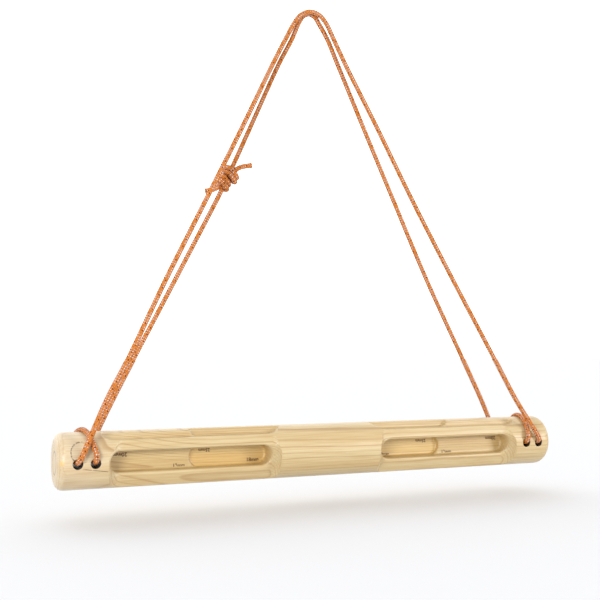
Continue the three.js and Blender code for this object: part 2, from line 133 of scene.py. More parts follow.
# %% Bends at the holes
OUTER_HOLE_X, INNER_HOLE_X = 280.4, 262.6
HOLE_CORD_Z, HIDDEN_END_Y = 0.4, 20.0
STRAND_Y, LEAN = 33.3, 0.448
BEND_RADIUS, BEND_POINTS = 8.0, 7


def mouth_bend(side, hole_x, face):
    lean = np.array([-side * LEAN, 0, math.sqrt(1 - LEAN**2)])
    start = np.array([side * hole_x, face * (STRAND_Y - BEND_RADIUS), HOLE_CORD_Z])
    bend = [(side * hole_x, face * HIDDEN_END_Y, HOLE_CORD_Z)]
    for turn in np.linspace(0, math.pi / 2, BEND_POINTS):
        at = start + lean * BEND_RADIUS * (1 - math.cos(turn))
        at[1] += face * BEND_RADIUS * math.sin(turn)
        bend.append(tuple(at))
    return bend


print("One bend with its hidden end, mm:", round(length_of(np.array(mouth_bend(1, OUTER_HOLE_X, 1))), 1))

# %% [markdown]
# Two strands rise in front of the bar and two behind it. In front they are one run of cord that turns over
# the hook at the top. Behind, the left strand is parted by the knot, so that side has two runs.

# %% Strands over the hook
FRONT_STRANDS = [
    (-252.3, -29.7, 63), (-231, -27.1, 103.2), (-190.4, -21.8, 187), (-144.6, -16.1, 276.3),
    (-101.4, -10.7, 361), (-62.3, -5.6, 440), (-44.6, -3.8, 474), (-34, -3.1, 493.5),
    (-25.4, -3.1, 504), (-14.4, -3.1, 509), (-3.2, -3.1, 507), (5.9, -3.1, 498.5),
    (15, -3.3, 481.8), (29.9, -4.9, 451.7), (69.4, -9.6, 377.6), (113, -15.1, 292.9),
    (165, -21.1, 197.7), (219.5, -27.3, 101), (247, -30.6, 52),
]
BACK_STRANDS_UPPER = [
    (238, 30.6, 49.5), (209.4, 27.3, 100.8), (153.4, 20.9, 200.6), (103.7, 14.8, 297.1),
    (60.8, 9.4, 381.2), (24.3, 4.8, 454), (9.9, 3.3, 482.7), (-0.5, 3.1, 498.8),
    (-5.4, 3.1, 505.6), (-12.6, 3.1, 508.6), (-20.3, 3.1, 505), (-26.3, 3.1, 495.7),
    (-34.3, 3.3, 476.8), (-50.4, 5.3, 444.9), (-84.2, 10.3, 367.6),
]
BACK_STRAND_LOWER = [(-168.4, 21.5, 191.3), (-213.4, 27.2, 102.9), (-238.6, 30.6, 52)]

front_loop_route = smooth_route(
    [*mouth_bend(-1, OUTER_HOLE_X, -1), *FRONT_STRANDS, *mouth_bend(1, OUTER_HOLE_X, -1)[::-1]])
print("Front loop, mm:", round(length_of(front_loop_route)))

# %% [markdown]
# The two ends are joined by a double fisherman's bend, the usual way to close a loop of accessory cord. A
# simulation could pull it tight, but a knot drawn from curves lies where the photograph shows it. It has axes
# of its own, x away from the climber, y to the right and z down the strand, because its turns are simple
# curves there.

# %% The knot's own axes
KNOT_CENTRE = np.array([-110.5, 14, 308.0])
KNOT_DOWN = np.array([-0.41, 0.06, -0.912])
KNOT_DOWN /= np.linalg.norm(KNOT_DOWN)
KNOT_RIGHT = -np.cross([0, 1, 0], KNOT_DOWN)
KNOT_RIGHT /= np.linalg.norm(KNOT_RIGHT)
KNOT_BACK = np.cross(KNOT_RIGHT, KNOT_DOWN)


def placed_knot(local, flip):
    return (KNOT_CENTRE + np.outer(local[:, 0], KNOT_BACK)
            + flip * np.outer(local[:, 1], KNOT_RIGHT) + flip * np.outer(local[:, 2], KNOT_DOWN))


print("Down the strand:", KNOT_DOWN.round(3))

# %% [markdown]
# Each end comes down the middle of the other's turns, leaves at the back, rides over its own turns there,
# passes the front twice and is tucked under both passes. The two front passes are arcs of a slanted ellipse.
# They lie half a millimetre nearer the middle than in the solids, as in a knot that has carried weight. The
# way in and the tuck are listed points.

# %% One half of the knot
TURN_HEIGHT, TURN_DEPTH, TURN_OFFSET = 7.5, 6.1, 2.5
FIRST_PASS, SECOND_PASS = 8.7, 3.1
PASS_REACH, PASS_STEPS = math.radians(78), 6
SLANT_SHARE = 0.4
KNOT_WAY_IN = [
    (0, 0, -14.5), (0, 0.1, -11), (0, 0.1, -7.5), (1.2, -0.4, -4),
    (4.2, -2.7, -0.3), (9.6, -2.4, 3.2), (10.8, -1, 6.6), (7.8, 3.4, 10.6),
]
KNOT_TUCK = [(1.9, -7.9, 0.7), (1.3, -5.5, 3.4), (0, -4.9, 7.5), (0, -4.9, 11.5), (0, -5.2, 14)]
UPPER_TAIL, LOWER_TAIL = 20.0, 15.5
TAIL_START, TAIL_END = np.array([0, -0.35, 0.94]), np.array([0.15, -0.8, 0.62])
TAIL_TURNING = (0.4, 0.8, 1, 1)


def knot_half(tail_length):
    def on_turn(angle, down):
        return -TURN_DEPTH * math.cos(angle), -TURN_OFFSET + TURN_HEIGHT * math.sin(angle), down

    def slant(angle):
        return SLANT_SHARE * TURN_HEIGHT * math.sin(angle)

    def front_pass(down):
        angles = np.linspace(PASS_REACH, -PASS_REACH, PASS_STEPS + 1)
        return [on_turn(angle, down + slant(angle)) for angle in angles]

    edge = slant(PASS_REACH)
    back = []
    for share in np.arange(1, PASS_STEPS + 2) / (PASS_STEPS + 2):
        angle = -PASS_REACH - 2 * (math.pi - PASS_REACH) * share
        back.append(on_turn(angle, (FIRST_PASS - edge) * (1 - share) + (SECOND_PASS + edge) * share))
    route = [np.array(p) for p in (
        *KNOT_WAY_IN, *front_pass(FIRST_PASS), *back, *front_pass(SECOND_PASS), *KNOT_TUCK)]
    for share in TAIL_TURNING:
        heading = TAIL_START + (TAIL_END - TAIL_START) * share
        route.append(route[-1] + heading / np.linalg.norm(heading) * tail_length / len(TAIL_TURNING))
    return np.array(route)


print("Points on one half of the knot:", len(knot_half(LOWER_TAIL)))

# %% [markdown]
# The halves are alike, one the other turned half round. Only their tails differ in length, as in the
# photograph. Each is joined to its strand, so that the cord runs on into the knot without a seam.

# %% Back cords with the knot
CORE_REACH = 19.5
knot_top = KNOT_CENTRE - KNOT_DOWN * CORE_REACH
knot_bottom = KNOT_CENTRE + KNOT_DOWN * CORE_REACH
upper_route = smooth_route([
    *mouth_bend(1, INNER_HOLE_X, 1), *BACK_STRANDS_UPPER, knot_top,
    *placed_knot(knot_half(LOWER_TAIL), 1)])
lower_route = smooth_route([
    *mouth_bend(-1, INNER_HOLE_X, 1), *BACK_STRAND_LOWER[::-1], knot_bottom,
    *placed_knot(knot_half(UPPER_TAIL), -1)])
back_lengths = [round(length_of(route)) for route in (upper_route, lower_route)]
print("Back cords with their knot halves, mm:", *back_lengths)

# %% [markdown]
# Between its two holes the cord goes once over the bar at each end: out of the back of the outer hole, up
# over the top, and down the front into the inner hole. It carries the bar's weight there, so it is pressed
# a little flat and wide where it lies on the wood. The side view is drawn first, then moved along the bar.

# %% The wraps over the bar
BAR_RADIUS = 29.5
PRESSED_THICKNESS, PRESSED_WIDTH = 4.6, 5.9
WRAP_RADIUS = BAR_RADIUS + PRESSED_THICKNESS / 2
WRAP_POINTS, TOUCH_SHARE, BEND_MARGIN = 8, 0.5, 0.3


def wrap_route(side):
    bend_y, bend_z = STRAND_Y - BEND_RADIUS, BEND_RADIUS + HOLE_CORD_Z
    first = math.atan2(bend_z, STRAND_Y)
    spare = math.hypot(STRAND_Y, bend_z) - WRAP_RADIUS
    rise = [(-HIDDEN_END_Y, HOLE_CORD_Z), (0, HOLE_CORD_Z)]
    for turn in np.linspace(0, math.pi / 2, BEND_POINTS):
        rise.append((bend_y + BEND_RADIUS * math.sin(turn), bend_z - BEND_RADIUS * math.cos(turn)))
    for share in np.linspace(0, 1, WRAP_POINTS)[1:]:
        angle = first + (math.pi / 2 - first) * share
        radius = WRAP_RADIUS + spare * max(0, 1 - share / TOUCH_SHARE) ** 2
        rise.append((radius * math.cos(angle), radius * math.sin(angle)))
    loop = rise + [(-y, z) for y, z in rise[-2::-1]]
    points = []
    for i, (y, z) in enumerate(loop):
        share = min(max((math.atan2(z, y) - first) / (math.pi - 2 * first), 0), 1)
        if z < bend_z - BEND_MARGIN:
            share = 0 if i < len(rise) else 1
        points.append((side * (OUTER_HOLE_X + (INNER_HOLE_X - OUTER_HOLE_X) * share), y, z))
    return smooth_route(points)


left_wrap_route, right_wrap_route = wrap_route(-1), wrap_route(1)
print("Each wrap, mm:", round(length_of(left_wrap_route)))

# %% [markdown]
# The sheath is a braid of twenty-four bundles of yarn, twelve winding each way, each passing over two and
# under two. Bundles modelled one by one would take millions of triangles over three metres. But a bundle is
# only a round arch that rises and sinks in a wave, and the higher of the two windings is what shows, so one
# formula gives the height of the braid everywhere on a plain tube.

# %% Height of the braid
CARRIERS, CROSSING_STEP = 12, 1.4
OVER_AND_UNDER, WINDING_SHIFT = 2.0, 3.0


def lifted(offset):
    wrapped = (offset + OVER_AND_UNDER) % (2 * OVER_AND_UNDER) - OVER_AND_UNDER
    return np.cos(math.pi / OVER_AND_UNDER * wrapped)


def arched(part):
    return np.sqrt(np.clip(1 - (2 * part - 1) ** 2, 0, 1))


def braid_height(around, along):
    one, other = around - along, around + along
    one_bundle, other_bundle = np.floor(one), np.floor(other)
    height_one = lifted(other - one_bundle) + arched(one - one_bundle)
    height_other = lifted(one - other_bundle - WINDING_SHIFT) + arched(other - other_bundle)
    return np.maximum(height_one, height_other) / 2


print("Bundles:", 2 * CARRIERS, "with a crossing every", CROSSING_STEP, "mm")

# %% [markdown]
# A curve with a round bevel gives the tube. Bumps in the material alone would leave its outline smooth, so
# its points are pushed in and out by the braid's height. A height of a half leaves a point at the cord's own
# diameter. Each ring keeps its place along the cord in a UV map, which the material reads to draw the same
# bundles.

# %% Braided tube
CORD_DIAMETER = 5.5
RING_POINTS, QUAD = 40, 4
BRAID_RELIEF, LEVEL_HEIGHT = 0.2, 0.5


def read_points(mesh):
    points = np.zeros(len(mesh.vertices) * 3)
    mesh.vertices.foreach_get("co", points)
    return points.reshape(-1, 3)


def write_points(mesh, points):
    mesh.vertices.foreach_set("co", points.ravel())
    mesh.update()


def plain_tube(name, route):
    curve = bpy.data.curves.new(name, "CURVE")
    curve.dimensions = "3D"
    curve.bevel_depth = CORD_DIAMETER / 2 * MM
    # A round bevel has twice its resolution and four more points.
    curve.bevel_resolution = (RING_POINTS - 4) // 2
    spline = curve.splines.new("POLY")
    spline.points.add(len(route) - 1)
    spline.points.foreach_set("co", np.c_[route * MM, np.ones(len(route))].ravel())
    holder = bpy.data.objects.new(name, curve)
    mesh = bpy.data.meshes.new_from_object(holder)
    bpy.data.objects.remove(holder)
    bpy.data.curves.remove(curve)
    return mesh


def add_braid_map(mesh, along):
    corners = np.zeros(len(mesh.loops), int)
    mesh.loops.foreach_get("vertex_index", corners)
    ring, spot = corners // RING_POINTS, corners % RING_POINTS
    face = np.arange(len(corners)) // QUAD
    seam = np.zeros(len(mesh.polygons), bool)
    np.logical_or.at(seam, face, spot == RING_POINTS - 1)
    around = np.where(seam[face] & (spot == 0), RING_POINTS, spot) / RING_POINTS * CARRIERS
    braid = mesh.uv_layers.new(name="braid")
    braid.data.foreach_set("uv", np.c_[around, along[ring]].astype(np.float32).ravel())


def tube_mesh(name, route, diameters):
    mesh = plain_tube(name, route)
    rings = read_points(mesh).reshape(len(route), RING_POINTS, 3)
    middle = rings.mean(1, keepdims=True)
    outward = rings - middle
    outward /= np.linalg.norm(outward, axis=2, keepdims=True)
    around = np.arange(RING_POINTS)[None] / RING_POINTS * CARRIERS
    along = np.arange(len(route))[:, None] * (length_of(route) / (len(route) - 1)) / CROSSING_STEP
    relief = BRAID_RELIEF * (braid_height(around, along) - LEVEL_HEIGHT)
    radius = (diameters[:, None] / 2 + relief) * MM
    add_braid_map(mesh, along.ravel())
    write_points(mesh, middle + outward * radius[..., None])
    return mesh


print("Points in a ring:", RING_POINTS, "at", round(math.pi * CORD_DIAMETER / RING_POINTS, 2), "mm")

# %% [markdown]
# Where a wrap lies on the wood it is thinner and wider. A lattice could press it, but the rings are already
# at hand: they are squashed towards the bar and spread along it, by a share that grows from nothing at the
# bend to all of it where the cord lies on the bar.

# %% Pressed on the bar
def press_on_bar(mesh):
    rings = read_points(mesh).reshape(-1, RING_POINTS, 3)
    middle = rings.mean(1, keepdims=True)
    outward = middle * np.array([0, 1, 1])
    distance = np.linalg.norm(outward, axis=2, keepdims=True)
    outward /= np.maximum(distance, MM)
    share = np.clip((STRAND_Y * MM - distance) / ((STRAND_Y - WRAP_RADIUS) * MM), 0, 1)
    share *= (distance > BAR_RADIUS * MM) * (middle[..., 2:] > 0)
    offset = rings - middle
    lift = (offset * outward).sum(2, keepdims=True)
    beside = offset - lift * outward
    thin = 1 - share * (1 - PRESSED_THICKNESS / CORD_DIAMETER)
    wide = 1 + share * (PRESSED_WIDTH / CORD_DIAMETER - 1)
    write_points(mesh, middle + beside * wide + lift * thin * outward)
    return mesh


print("Pressed cord, mm:", PRESSED_THICKNESS, "thick and", PRESSED_WIDTH, "wide")

# %% [markdown]
# One tube can hold two pieces, as a strand and its half of the knot do. A piece keeps the rings from first to
# last. Its open ends are closed with a flat face, which stays sharp while the sides are shaded smooth.

# %% Cut a piece from a tube
def cord_piece(name, mesh, first=0, last=math.inf):
    bm = bmesh.new()
    bm.from_mesh(mesh)
    bm.verts.ensure_lookup_table()
    spare = [v for v in bm.verts if not first <= v.index // RING_POINTS <= last]
    bmesh.ops.delete(bm, geom=spare, context="VERTS")
    bmesh.ops.holes_fill(bm, edges=[e for e in bm.edges if e.is_boundary], sides=0)
    bmesh.ops.recalc_face_normals(bm, faces=bm.faces)
    for face in bm.faces:
        face.smooth = len(face.verts) == QUAD
    cut = bpy.data.meshes.new(name)
    bm.to_mesh(cut)
    bm.free()
    piece = bpy.data.objects.new(name, cut)
    scene.collection.objects.link(piece)
    return piece


print("Corners of an end face:", RING_POINTS)

# %% [markdown]
# Colours are written as the sRGB hex values that a picture editor shows. The renderer works in linear
# light, so one function turns them. Another adds a node, sets it and links or fills its inputs, in the order
# in which the editor shows them or by name. A bare word as the setting is the node's operation.

# %% Colour and node helpers
MATH, MIX, RANGE, NOISE = "ShaderNodeMath", "ShaderNodeMix", "ShaderNodeMapRange", "ShaderNodeTexNoise"
VECTOR_MATH, SPLIT, JOIN = "ShaderNodeVectorMath", "ShaderNodeSeparateXYZ", "ShaderNodeCombineXYZ"
COORDINATES, BUMP = "ShaderNodeTexCoord", "ShaderNodeBump"
PRINCIPLED, SURFACE = "ShaderNodeBsdfPrincipled", "ShaderNodeOutputMaterial"
COLOUR_MIX = {"data_type": "RGBA"}
COLOUR_MULTIPLY = {"data_type": "RGBA", "blend_type": "MULTIPLY"}
FLAT_NOISE = {"noise_dimensions": "2D"}


def linear(hex_colour):
    channels = [int(hex_colour[i:i + 2], 16) / 255 for i in (1, 3, 5)]
    return [*(c / 12.92 if c <= 0.04045 else ((c + 0.055) / 1.055) ** 2.4 for c in channels), 1.0]


def add_node(tree, kind, settings, *inputs, **named):
    node = tree.nodes.new(kind)
    if isinstance(settings, str):
        settings = {"operation": settings}
    for key, value in settings.items():
        setattr(node, key, value)
    shown = [socket for socket in node.inputs if socket.enabled]
    sockets = [*shown[:len(inputs)], *(node.inputs[key.replace("_", " ")] for key in named)]
    for socket, value in zip(sockets, (*inputs, *named.values())):
        if isinstance(value, bpy.types.Node):
            value = next(output for output in value.outputs if output.enabled)
        if isinstance(value, bpy.types.NodeSocket):
            tree.links.new(value, socket)
        else:
            socket.default_value = value
    return node


def new_material(name):
    material = bpy.data.materials.new(name)
    material.use_nodes = True
    material.node_tree.nodes.clear()
    return material, material.node_tree


print("Middle grey in linear light:", round(linear("#808080")[0], 3))

# %% [markdown]
# The colours have to sit on the bumps, so the material works out the same arches as the mesh, from the braid
# map: which bundle of each winding lies here, how high it is, and which of the two is on top.

# %% Bundles in the cord's material
cord_material, tree = new_material("braided_polyester_orange")
braid = add_node(tree, "ShaderNodeUVMap", {"uv_map": "braid"})
around, along = add_node(tree, SPLIT, {}, braid).outputs[:2]
one = add_node(tree, MATH, "SUBTRACT", around, along)
other = add_node(tree, MATH, "ADD", around, along)
one_bundle = add_node(tree, MATH, "FLOOR", one)
other_bundle = add_node(tree, MATH, "FLOOR", other)


def bundle_height(across, index, offset):
    wrapped = add_node(tree, MATH, "WRAP", offset, OVER_AND_UNDER, -OVER_AND_UNDER)
    turn = add_node(tree, MATH, "MULTIPLY", wrapped, math.pi / OVER_AND_UNDER)
    lift = add_node(tree, MATH, "COSINE", turn)
    part = add_node(tree, MATH, "SUBTRACT", across, index)
    centred = add_node(tree, MATH, "MULTIPLY_ADD", part, 2.0, -1.0)
    square = add_node(tree, MATH, "MULTIPLY", centred, centred)
    left = add_node(tree, MATH, {"operation": "SUBTRACT", "use_clamp": True}, 1.0, square)
    arch = add_node(tree, MATH, "SQRT", left)
    both = add_node(tree, MATH, "ADD", lift, arch)
    return add_node(tree, MATH, "MULTIPLY", both, 0.5)


from_one = add_node(tree, MATH, "SUBTRACT", other, one_bundle)
from_other = add_node(tree, MATH, "SUBTRACT", one, other_bundle)
shifted = add_node(tree, MATH, "SUBTRACT", from_other, WINDING_SHIFT)
height_one = bundle_height(one, one_bundle, from_one)
height_other = bundle_height(other, other_bundle, shifted)
height = add_node(tree, MATH, "MAXIMUM", height_one, height_other)
one_on_top = add_node(tree, MATH, "GREATER_THAN", height_one, height_other)
other_on_top = add_node(tree, MATH, "SUBTRACT", 1.0, one_on_top)
print("Nodes for the bundles:", len(tree.nodes))

# %% [markdown]
# Most bundles are golden orange. Every other bundle of one winding carries white and lilac yarn, which shows
# as pale flecks where it comes to the top, and every sixth of the other winding is red-brown. Both come and
# go in patches of about six millimetres, as they do along a real cord.

# %% Flecks of pale and dark yarn
PALE_EVERY, DARK_EVERY = 2.0, 6.0
PALE_ABOVE, DARK_BELOW = 0.47, 0.55
PATCH_LENGTH = 6.364
PATCH_SCALE = CROSSING_STEP / PATCH_LENGTH

pale_turn = add_node(tree, MATH, "WRAP", one_bundle, PALE_EVERY, 0.0)
dark_turn = add_node(tree, MATH, "WRAP", other_bundle, DARK_EVERY, 0.0)
pale_bundle = add_node(tree, MATH, "LESS_THAN", pale_turn, 0.5)
dark_bundle = add_node(tree, MATH, "LESS_THAN", dark_turn, 0.5)
patches = add_node(tree, NOISE, FLAT_NOISE, braid, Scale=PATCH_SCALE, Detail=3.0, Roughness=0.7)
pale_patch = add_node(tree, MATH, "GREATER_THAN", patches, PALE_ABOVE)
dark_patch = add_node(tree, MATH, "LESS_THAN", patches, DARK_BELOW)
pale_seen = add_node(tree, MATH, "MULTIPLY", one_on_top, pale_bundle)
dark_seen = add_node(tree, MATH, "MULTIPLY", other_on_top, dark_bundle)
pale = add_node(tree, MATH, "MULTIPLY", pale_seen, pale_patch)
dark = add_node(tree, MATH, "MULTIPLY", dark_seen, dark_patch)
print("Patches in a step from crossing to crossing:", round(PATCH_SCALE, 3))

# %% [markdown]
# Braided polyester has only a soft sheen and no clear reflections, so its specular level is low and its
# roughness high. Five yarns lie side by side in a bundle and differ a little in tone. The gaps between
# bundles are painted deep red-brown as painted shade, for light that has passed through the orange yarn.

# %% Braided polyester cord
YARN_WIDTH = 0.28
YARN_DARK, YARN_BRIGHT = 0.3, 0.7
GAP_SHADE_FROM, GAP_SHADE_FULL = 0.82, 0.42
BUNDLE_BUMP = 0.15

yarn = add_node(tree, NOISE, FLAT_NOISE, braid, Scale=CROSSING_STEP / YARN_WIDTH, Detail=3.0)
tone = add_node(tree, RANGE, {}, yarn, From_Min=YARN_DARK, From_Max=YARN_BRIGHT)
orange = add_node(tree, MIX, COLOUR_MIX, tone, linear("#bd520f"), linear("#f6a344"))
lilac = add_node(tree, MIX, COLOUR_MIX, tone, linear("#bd9c9c"), linear("#fbf0e4"))
with_pale = add_node(tree, MIX, COLOUR_MIX, pale, orange, lilac)
with_dark = add_node(tree, MIX, COLOUR_MIX, dark, with_pale, linear("#6e2e14"))
# Painted shade: the low places between bundles are darkened red-brown.
gap = add_node(tree, RANGE, {}, height, From_Min=GAP_SHADE_FROM, From_Max=GAP_SHADE_FULL)
shaded = add_node(tree, MIX, COLOUR_MIX, gap, with_dark, linear("#3f1605"))
bump = add_node(tree, BUMP, {}, Strength=0.6, Distance=BUNDLE_BUMP * MM, Height=height)
shader = add_node(tree, PRINCIPLED, {}, shaded, Roughness=0.8, IOR=1.5, Specular_IOR_Level=0.3, Normal=bump)
add_node(tree, SURFACE, {}, shader)
print("Material:", cord_material.name, "with", len(tree.nodes), "nodes")

# %% [markdown]
# Each run of cord is a piece of its own. The wraps turn with the bar, and the knot stays with the cord.

# %% Dress the cords
PATH_STRIDE = 10


def dress_cord(piece, nodes, body):
    piece.data.materials.append(cord_material)
    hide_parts(*nodes)
    if body:
        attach(piece, body)
    else:
        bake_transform(piece)
    print(piece.name, "triangles:", sum(len(f.vertices) - 2 for f in piece.data.polygons))


def declare_cord(route):
    line = route[::PATH_STRIDE] * MM
    if len(route) % PATH_STRIDE != 1:
        line = np.vstack([line, route[-1:] * MM])


def even_diameter(route):
    return np.full(len(route), CORD_DIAMETER)


front_loop_tube = tube_mesh("front_loop", front_loop_route, even_diameter(front_loop_route))
front_loop = cord_piece("cord_front_loop_braided", front_loop_tube)
dress_cord(front_loop, ["cord_front_loop"], None)
declare_cord(front_loop_route)

for side_name, route in (("left", left_wrap_route), ("right", right_wrap_route)):
    wrap_tube = press_on_bar(tube_mesh("wrap", route, even_diameter(route)))
    wrap = cord_piece(f"cord_wrap_{side_name}_braided", wrap_tube)
    dress_cord(wrap, [f"cord_wrap_{side_name}"], "bar")
    declare_cord(route)

# %% [markdown]
# A back run and its half of the knot are one cord, so they are made as one tube and then cut where the knot
# begins. The cord is squeezed a little thinner inside the tight knot. Its end was cut with a hot knife, which
# melts the yarns into a small flared rim.

# %% Dress the back runs and the knot
SQUEEZED_DIAMETER, SQUEEZE_RINGS = 5.4, 12
TAIL_FREE = 9.0
MELTED_FLARE, MELTED_LENGTH = 1.2, 2.5


def knot_start(route):
    near = np.linalg.norm(route - KNOT_CENTRE, axis=1) < CORE_REACH
    return int(np.argmax(near))


def squeezed_diameter(route):
    ring = np.arange(len(route))
    from_end = (len(route) - 1 - ring) * RING_STEP
    flare = MELTED_FLARE * np.clip(1 - from_end / MELTED_LENGTH, 0, 1) ** 2
    past_start = np.clip((ring - knot_start(route)) / SQUEEZE_RINGS, 0, 1)
    before_tail = np.clip((from_end - TAIL_FREE) / TAIL_FREE, 0, 1)
    return CORD_DIAMETER - (CORD_DIAMETER - SQUEEZED_DIAMETER) * (past_start * before_tail) + flare


for run, route, strand_node, knot_node in (
    ("upper", upper_route, "cord_back_upper", "knot_lower_turns"),
    ("lower", lower_route, "cord_back_lower", "knot_upper_turns"),
):
    whole = tube_mesh(run, route, squeezed_diameter(route))
    entry = knot_start(route)
    strand = cord_piece(f"cord_back_{run}_braided", whole, last=entry)
    turns = cord_piece(f"{knot_node}_braided", whole, first=entry)
    dress_cord(strand, [strand_node], None)
    dress_cord(turns, [knot_node], "cord")
    declare_cord(route[:entry + 1])

# %% [markdown]
# The bar is turned from a pale softwood rod, milled and then sanded, so every edge is a little soft. The CAD
# solid has the exact form in flat facets. A bevel would need cleaner edges than its cuts leave. So a merged
# copy is remeshed into small even quads, smoothed a little as sanding does, and thinned where it is flat.

# %% Sanded bar
MERGE_WITHIN, VOXEL = 0.001, 1.0
SANDING_STRENGTH, SANDING_ROUNDS = 0.5, 3
BAR_TRIANGLES = 190000


def merged_copy(node, name):
    bm = bmesh.new()
    bm.from_mesh(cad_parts[node].data)
    bmesh.ops.remove_doubles(bm, verts=bm.verts, dist=MERGE_WITHIN * MM)
    mesh = bpy.data.meshes.new(name)
    bm.to_mesh(mesh)
    bm.free()
    piece = bpy.data.objects.new(name, mesh)
    scene.collection.objects.link(piece)
    return piece


def apply_modifiers(piece):
    depsgraph = bpy.context.evaluated_depsgraph_get()
    mesh = bpy.data.meshes.new_from_object(piece.evaluated_get(depsgraph))
    piece.modifiers.clear()
    piece.data = mesh


bar_piece = merged_copy("bar", "bar_sanded")
remesh = bar_piece.modifiers.new("even_quads", "REMESH")
remesh.mode = "VOXEL"
remesh.voxel_size = VOXEL * MM
sanding = bar_piece.modifiers.new("sanding", "SMOOTH")
sanding.factor = SANDING_STRENGTH
sanding.iterations = SANDING_ROUNDS
apply_modifiers(bar_piece)
quads = len(bar_piece.data.polygons)
thinning = bar_piece.modifiers.new("thin", "DECIMATE")
thinning.ratio = min(1.0, BAR_TRIANGLES / (2 * quads))
apply_modifiers(bar_piece)
print("Bar quads and triangles:", quads, len(bar_piece.data.polygons))

# %% [markdown]
# The turned surface has to be truly round to reflect well, and the facets of the solid still show in it. So
# points that lie within a hair of the round are put back on it, which is surer than smoothing once more. The
# rounded rims at the two ends are left as they are.

# %% Round again
ROUND_TOLERANCE, RIM_X = 0.35, 291
points = read_points(bar_piece.data)
radius = np.hypot(points[:, 1], points[:, 2])
on_round = np.abs(radius - BAR_RADIUS * MM) < ROUND_TOLERANCE * MM
turned = on_round & (np.abs(points[:, 0]) < RIM_X * MM)
points[turned, 1:] *= (BAR_RADIUS * MM / radius[turned])[:, None]
bar_piece.data.polygons.foreach_set("use_smooth", np.ones(len(bar_piece.data.polygons), bool))
write_points(bar_piece.data, points)
print("Points put back on the round:", int(turned.sum()), "of", len(turned))

# %% [markdown]
# The bar is pine. Its growth rings are tubes round a pith that runs along the bar, near its axis at the left
# end and lower down from there on, so they show as long lines on the sides and as rings on the end. A picture
# of wood would have to be fitted to every face. A pattern in the object's own space runs over each edge, as
# the grain of solid wood does. Slow noise bends the rings.

# %% Places in the wood
PITH_Y, PITH_Z_LEFT, PITH_Z_MIDDLE = 2.0, -1.0, -15.0
PITH_LEFT_X, PITH_MIDDLE_X = -300.0, -140.0
RING_SWAY, SWAY_LENGTH, SWAY_WIDTH = 6.5, 333.3, 50.0
SMOOTH_STEP = {"interpolation_type": "SMOOTHSTEP"}

wood_material, tree = new_material("sanded_oiled_pine")
in_metres = add_node(tree, COORDINATES, {}).outputs["Object"]
place = add_node(tree, VECTOR_MATH, "SCALE", in_metres, Scale=1 / MM)
x, y, z = add_node(tree, SPLIT, {}, place).outputs


def distance(*offsets):
    return add_node(tree, VECTOR_MATH, "LENGTH", add_node(tree, JOIN, {}, *offsets))


def grain_noise(length, width, detail, roughness):
    stretched = add_node(tree, "ShaderNodeMapping", {}, place, Scale=(1 / length, 1 / width, 1 / width))
    return add_node(tree, NOISE, {}, stretched, Scale=1.0, Detail=detail, Roughness=roughness)


pith_z = add_node(tree, RANGE, SMOOTH_STEP, x, From_Min=PITH_LEFT_X, From_Max=PITH_MIDDLE_X,
                  To_Min=PITH_Z_LEFT, To_Max=PITH_Z_MIDDLE)
beside_pith = add_node(tree, MATH, "SUBTRACT", y, PITH_Y)
above_pith = add_node(tree, MATH, "SUBTRACT", z, pith_z)
from_pith = distance(0.0, beside_pith, above_pith)
sway = grain_noise(SWAY_LENGTH, SWAY_WIDTH, detail=2.0, roughness=0.4)
swayed = add_node(tree, MATH, "MULTIPLY_ADD", sway, RING_SWAY, from_pith)
print("A bend of the rings, mm:", SWAY_LENGTH, "long and", SWAY_WIDTH, "wide")

# %% [markdown]
# A ring is one year's growth. Its dark late wood comes up softly and ends sharply, and each year has a
# strength of its own. Towards the left end the colour is painted paler and greyer, as a painted sheen.

# %% Growth rings
RING_WIDTH = 2.6
LATE_FROM, LATE_FULL, LATE_END = 0.66, 0.94, 0.95
WEAKEST_YEAR, STRONGEST_YEAR = 0.15, 0.75
PAINTED_SHEEN_FROM_X, PAINTED_SHEEN_FULL_X = -225.0, -285.0

rings = add_node(tree, MATH, "DIVIDE", swayed, RING_WIDTH)
phase = add_node(tree, MATH, "FRACT", rings)
year = add_node(tree, MATH, "FLOOR", rings)
chance = add_node(tree, "ShaderNodeTexWhiteNoise", {"noise_dimensions": "1D"}, W=year)
strength = add_node(tree, RANGE, {}, chance, To_Min=WEAKEST_YEAR, To_Max=STRONGEST_YEAR)
rise = add_node(tree, RANGE, SMOOTH_STEP, phase, From_Min=LATE_FROM, From_Max=LATE_FULL)
fall = add_node(tree, RANGE, {}, phase, From_Min=LATE_END, From_Max=1.0, To_Min=1.0, To_Max=0.0)
line = add_node(tree, MATH, "MULTIPLY", rise, fall)
late = add_node(tree, MATH, "MULTIPLY", line, strength)
# Painted sheen: the left end is painted paler and greyer.
painted_sheen = add_node(tree, RANGE, {}, x, From_Min=PAINTED_SHEEN_FROM_X, From_Max=PAINTED_SHEEN_FULL_X)
painted_sheen_colour = add_node(tree, MIX, COLOUR_MIX, painted_sheen, linear("#cbb98f"), linear("#d2c4a8"))
ringed = add_node(tree, MIX, COLOUR_MIX, late, painted_sheen_colour, linear("#a48352"))
print("Late wood in a ring, mm:", round(RING_WIDTH * (1 - LATE_FROM), 2))

# %% [markdown]
# Two finer patterns are drawn out along the grain: warm streaks about eleven millimetres wide and the fibres.
# Real fibres are too fine to show, so they are drawn as bundles nine tenths of a millimetre wide. The eye
# takes both for the silky grain of planed softwood.

# %% Streaks and fibres
STREAK_LENGTH, STREAK_WIDTH = 250.0, 11.11
FIBRE_LENGTH, FIBRE_WIDTH = 50.0, 0.909

